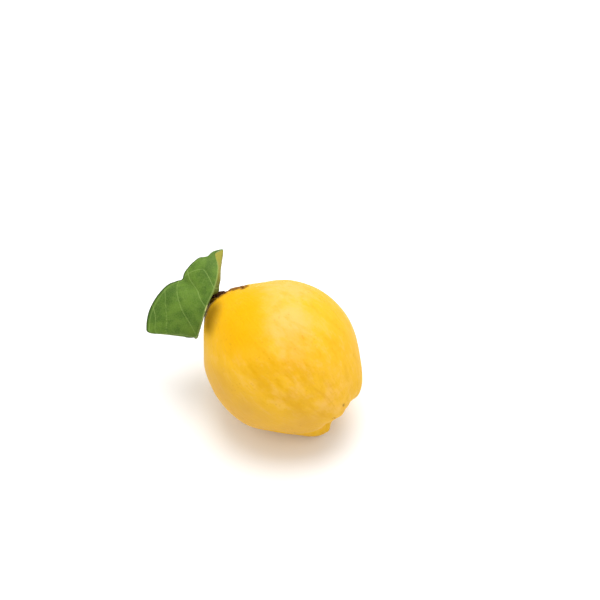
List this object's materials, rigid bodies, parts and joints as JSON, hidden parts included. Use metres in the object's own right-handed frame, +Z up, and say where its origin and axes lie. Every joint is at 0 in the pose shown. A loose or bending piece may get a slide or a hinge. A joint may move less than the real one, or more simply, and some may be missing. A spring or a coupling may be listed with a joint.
{
  "type": "quince fruit",
  "caption": "Ripe yellow quince as picked, lying on its side, with a stub of stalk, a folded green leaf and a dried calyx in its ribbed basin.",
  "frame": {"origin": "middle of the small flat spot that the fruit rests on", "axes": "+Z up from the resting surface; the stalk end points to -X, +Y and up, and the calyx end to +X, -Y and down"},
  "size_m": [0.122, 0.0887, 0.0897],
  "materials": {
    "quince_skin": "satin waxy skin, golden yellow, with patches of pale down",
    "woody_stalk": "rough dark bark",
    "leaf_green": "soft matte leaf with paler veins and a downy grey-green underside",
    "dried_calyx": "dry brown papery tissue"
  },
  "bodies": {
    "root": {"fruit": "quince_skin", "stalk": "woody_stalk", "leaf": "leaf_green", "calyx": "dried_calyx"}
  },
  "joints": []
}
